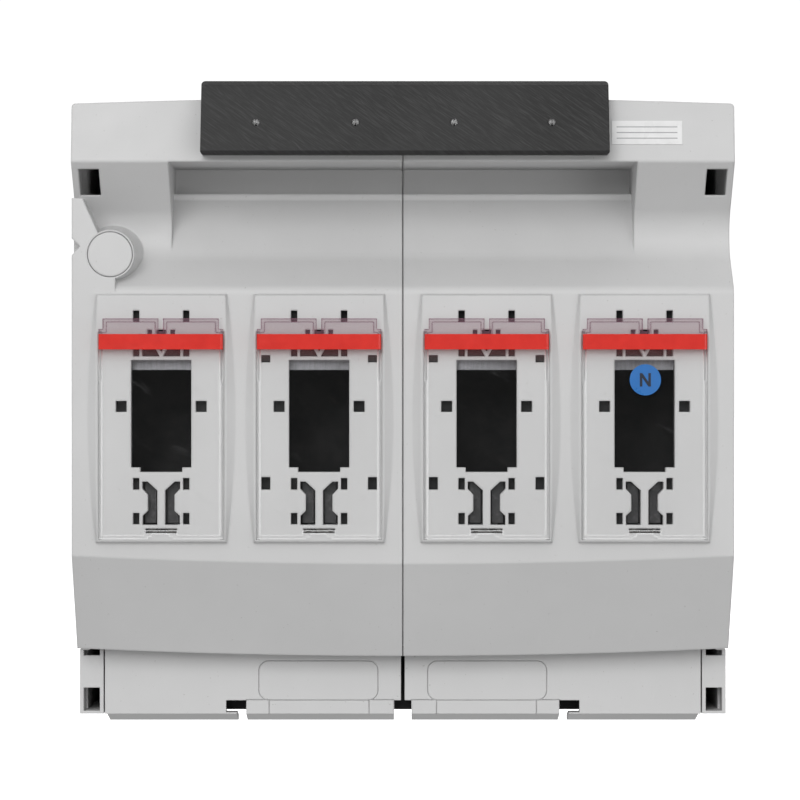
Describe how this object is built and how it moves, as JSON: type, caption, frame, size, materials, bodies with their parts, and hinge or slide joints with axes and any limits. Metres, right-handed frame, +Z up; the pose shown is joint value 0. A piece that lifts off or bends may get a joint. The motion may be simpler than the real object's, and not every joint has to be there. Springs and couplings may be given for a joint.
{
  "type": "fuse switch-disconnector",
  "caption": "Panel-mounted fuse switch-disconnector: tilting lid with a dark grip bar, clear sliding windows, blade jaws and lower terminal covers.",
  "frame": {"origin": "centre of the mounting hole rectangle, on the plane of the back face", "axes": "+Z up, -Y out of the front towards the user, +X to the right as seen from the front; +Y into the mounting plate"},
  "size_m": [0.2772, 0.1334, 0.2718],
  "materials": {
    "housing": "fine moulded grain",
    "dark_plastic": "matte, heat resistant",
    "handle": "scuffed satin",
    "copper": "silver plated copper",
    "steel": "zinc plated",
    "clear": "clear polycarbonate with a red printed stripe",
    "label": "blank film label",
    "marker": "printed disc"
  },
  "bodies": {
    "root": {"base_left": "housing", "base_right": "housing", "base_tie_rods": "steel", "hinge_pins": "steel", "terminal_baffles": "dark_plastic", "bay_liner_1": "dark_plastic", "bay_liner_2": "dark_plastic", "bay_liner_3": "dark_plastic", "bay_liner_4": "dark_plastic", "upper_contact_1": "copper", "upper_contact_2": "copper", "upper_contact_3": "copper", "upper_contact_4": "copper", "lower_contact_1": "copper", "lower_contact_2": "copper", "lower_contact_3": "copper", "lower_contact_4": "copper", "upper_jaw_springs": "steel", "lower_jaw_springs": "steel", "terminal_bolts": "steel", "terminal_washers": "steel", "terminal_nuts": "steel", "arc_plates_1": "steel", "arc_plates_2": "steel", "arc_plates_3": "steel", "arc_plates_4": "steel"},
    "cover": {"lid_left": "housing", "lid_right": "housing", "handle_bar": "handle", "handle_screws": "steel", "side_plug": "housing", "blank_label": "label", "fuse_carrier_1": "dark_plastic", "fuse_carrier_2": "dark_plastic", "fuse_carrier_3": "dark_plastic", "fuse_carrier_4": "dark_plastic", "grip_plate_1": "steel", "grip_plate_2": "steel", "grip_plate_3": "steel", "grip_plate_4": "steel"},
    "lower_cover_left": {"terminal_cover_left": "housing"},
    "lower_cover_right": {"terminal_cover_right": "housing"},
    "window_1_slide": {"window_1": "clear"},
    "catch_1_slide": {"grip_catch_1": "dark_plastic"},
    "window_2_slide": {"window_2": "clear"},
    "catch_2_slide": {"grip_catch_2": "dark_plastic"},
    "window_3_slide": {"window_3": "clear"},
    "catch_3_slide": {"grip_catch_3": "dark_plastic"},
    "window_4_slide": {"window_4": "clear", "neutral_disc": "marker"},
    "catch_4_slide": {"grip_catch_4": "dark_plastic"}
  },
  "joints": [
    {"name": "lid_tilt", "type": "hinge", "parent": "root", "child": "cover", "pos_m": [0, -0.084, -0.1], "axis": [1, 0, 0], "range_deg": [0, 35]},
    {"name": "window_1_up", "type": "slide", "parent": "cover", "child": "window_1_slide", "axis": [0, 0, 1], "range_m": [0, 0.02]},
    {"name": "catch_1_release", "type": "slide", "parent": "cover", "child": "catch_1_slide", "axis": [0, 0, -1], "range_m": [0, 0.003], "stiffness_N_per_m": 900, "springref_m": -0.001},
    {"name": "window_2_up", "type": "slide", "parent": "cover", "child": "window_2_slide", "axis": [0, 0, 1], "range_m": [0, 0.02]},
    {"name": "catch_2_release", "type": "slide", "parent": "cover", "child": "catch_2_slide", "axis": [0, 0, -1], "range_m": [0, 0.003], "stiffness_N_per_m": 900, "springref_m": -0.001},
    {"name": "window_3_up", "type": "slide", "parent": "cover", "child": "window_3_slide", "axis": [0, 0, 1], "range_m": [0, 0.02]},
    {"name": "catch_3_release", "type": "slide", "parent": "cover", "child": "catch_3_slide", "axis": [0, 0, -1], "range_m": [0, 0.003], "stiffness_N_per_m": 900, "springref_m": -0.001},
    {"name": "window_4_up", "type": "slide", "parent": "cover", "child": "window_4_slide", "axis": [0, 0, 1], "range_m": [0, 0.02]},
    {"name": "catch_4_release", "type": "slide", "parent": "cover", "child": "catch_4_slide", "axis": [0, 0, -1], "range_m": [0, 0.003], "stiffness_N_per_m": 900, "springref_m": -0.001},
    {"name": "terminal_cover_left_off", "type": "slide", "parent": "root", "child": "lower_cover_left", "axis": [0, 0, -1], "range_m": [0, 0.035]},
    {"name": "terminal_cover_right_off", "type": "slide", "parent": "root", "child": "lower_cover_right", "axis": [0, 0, -1], "range_m": [0, 0.035]}
  ]
}
